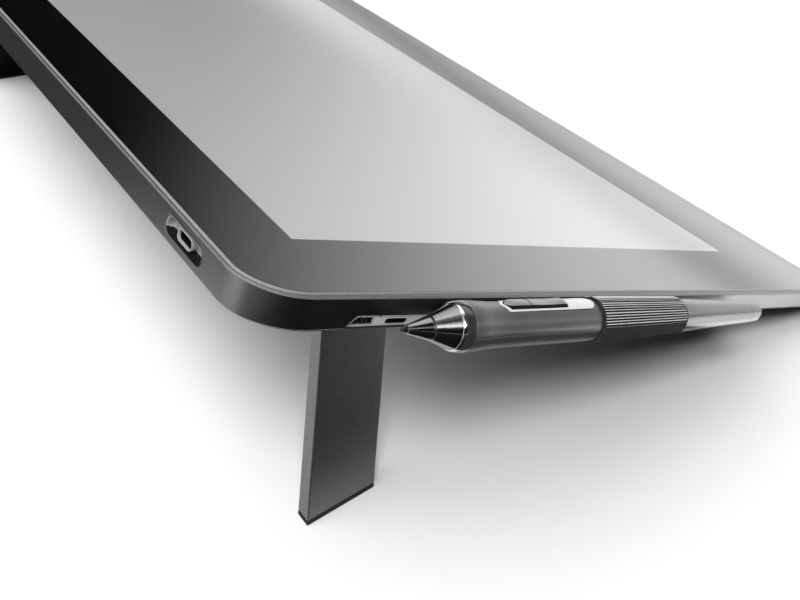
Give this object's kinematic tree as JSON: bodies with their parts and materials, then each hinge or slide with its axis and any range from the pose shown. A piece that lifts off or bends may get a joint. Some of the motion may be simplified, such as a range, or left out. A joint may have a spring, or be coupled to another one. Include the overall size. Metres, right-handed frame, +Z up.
{
  "type": "pen drawing tablet",
  "caption": "Slim pen display standing tilted on fold-out rear legs, with a pen held along its side in an elastic textile loop.",
  "frame": {"origin": "on the desk plane, under the middle of the front rubber foot's bevelled contact face", "axes": "+X to the user's right, +Y to the rear, +Z up; the glass leans back 20 degrees about X"},
  "size_m": [0.4257, 0.2478, 0.0983],
  "materials": {
    "frame": "fine bead-blasted graphite anodising",
    "cover_glass": "etched anti-glare, polished edge",
    "bezel_print": "black ink under glass",
    "lcd_panel": "light grey, unlit or plain screen",
    "backlight": "white film stack in a thin tray",
    "board": "green solder mask",
    "sheet_metal": "thin rolled sheet",
    "shield": "thin rolled sheet",
    "rear_cover": "fine matte texture",
    "screw": "turned",
    "side_plate": "satin",
    "vent": "matte black",
    "port_bezel": "satin with a polished edge",
    "receptacle": "plated",
    "switch_body": "matte",
    "leg": "fine matte graphite",
    "rubber": "matte",
    "textile": "ribbed elastic webbing",
    "nib": "dark polyacetal",
    "cone": "gloss metallic",
    "ring": "polished",
    "gloss_black": "piano black",
    "grip": "soft-touch grey",
    "silver": "satin silver",
    "key": "satin black",
    "barrel": "satin grey",
    "carrier": "moulded"
  },
  "bodies": {
    "tablet": {"frame": "frame", "cover_glass": "cover_glass", "bezel_print": "bezel_print", "lcd_panel": "lcd_panel", "backlight": "backlight", "digitizer_board": "board", "shield_plate": "shield", "rear_cover": "rear_cover", "cover_screws": "screw", "side_plate": "side_plate", "side_vent": "vent", "port_bezel": "port_bezel", "usb_receptacle": "receptacle", "port_board": "board", "mainboard": "board", "heat_spreader": "shield", "power_switch": "switch_body", "hinge_pin_left": "sheet_metal", "hinge_pin_right": "sheet_metal", "hinge_washers": "sheet_metal", "foot_front": "rubber", "foot_rear_left": "rubber", "foot_rear_right": "rubber", "loop_tab": "switch_body", "loop_sleeve": "textile"},
    "leg_left": {"leg_left": "leg", "leg_pad_left": "rubber"},
    "leg_right": {"leg_right": "leg", "leg_pad_right": "rubber"},
    "power_button": {"power_button": "frame"},
    "pen": {"pen_tip_cone": "cone", "pen_front_cone": "cone", "pen_ring": "ring", "pen_gloss_band": "gloss_black", "pen_grip": "grip", "pen_switch_plate": "silver", "pen_key_pin": "sheet_metal", "pen_barrel": "barrel", "pen_tail_cap": "barrel", "pen_core": "carrier"},
    "nib": {"pen_nib": "nib"},
    "front_key": {"pen_switch_front": "key"},
    "rear_key": {"pen_switch_rear": "key"}
  },
  "joints": [
    {"name": "leg_left_fold", "type": "hinge", "parent": "tablet", "child": "leg_left", "pos_m": [-0.1618, 0.17589, 0.06539], "axis": [0, -0.9397, -0.342], "range_deg": [0, 111.2]},
    {"name": "leg_right_fold", "type": "hinge", "parent": "tablet", "child": "leg_right", "pos_m": [0.1618, 0.17589, 0.06539], "axis": [0, 0.9397, 0.342], "range_deg": [0, 111.2]},
    {"name": "power_press", "type": "slide", "parent": "tablet", "child": "power_button", "axis": [-1, 0, 0], "range_m": [0, 0.0004], "stiffness_N_per_m": 3000},
    {"name": "pen_pull", "type": "slide", "parent": "tablet", "child": "pen", "axis": [0, 0.9452, 0.3264], "range_m": [0, 0.085]},
    {"name": "nib_press", "type": "slide", "parent": "pen", "child": "nib", "axis": [0, -0.9452, -0.3264], "range_m": [0, 0.0005], "stiffness_N_per_m": 2000},
    {"name": "front_key_press", "type": "hinge", "parent": "pen", "child": "front_key", "pos_m": [-0.213, 0.15107, 0.07115], "axis": [-1, 0, 0], "range_deg": [0, 2.5], "stiffness_Nm_per_rad": 0.3},
    {"name": "rear_key_press", "type": "hinge", "parent": "pen", "child": "rear_key", "pos_m": [-0.213, 0.15107, 0.07115], "axis": [1, 0, 0], "range_deg": [0, 1.8], "stiffness_Nm_per_rad": 0.4}
  ]
}
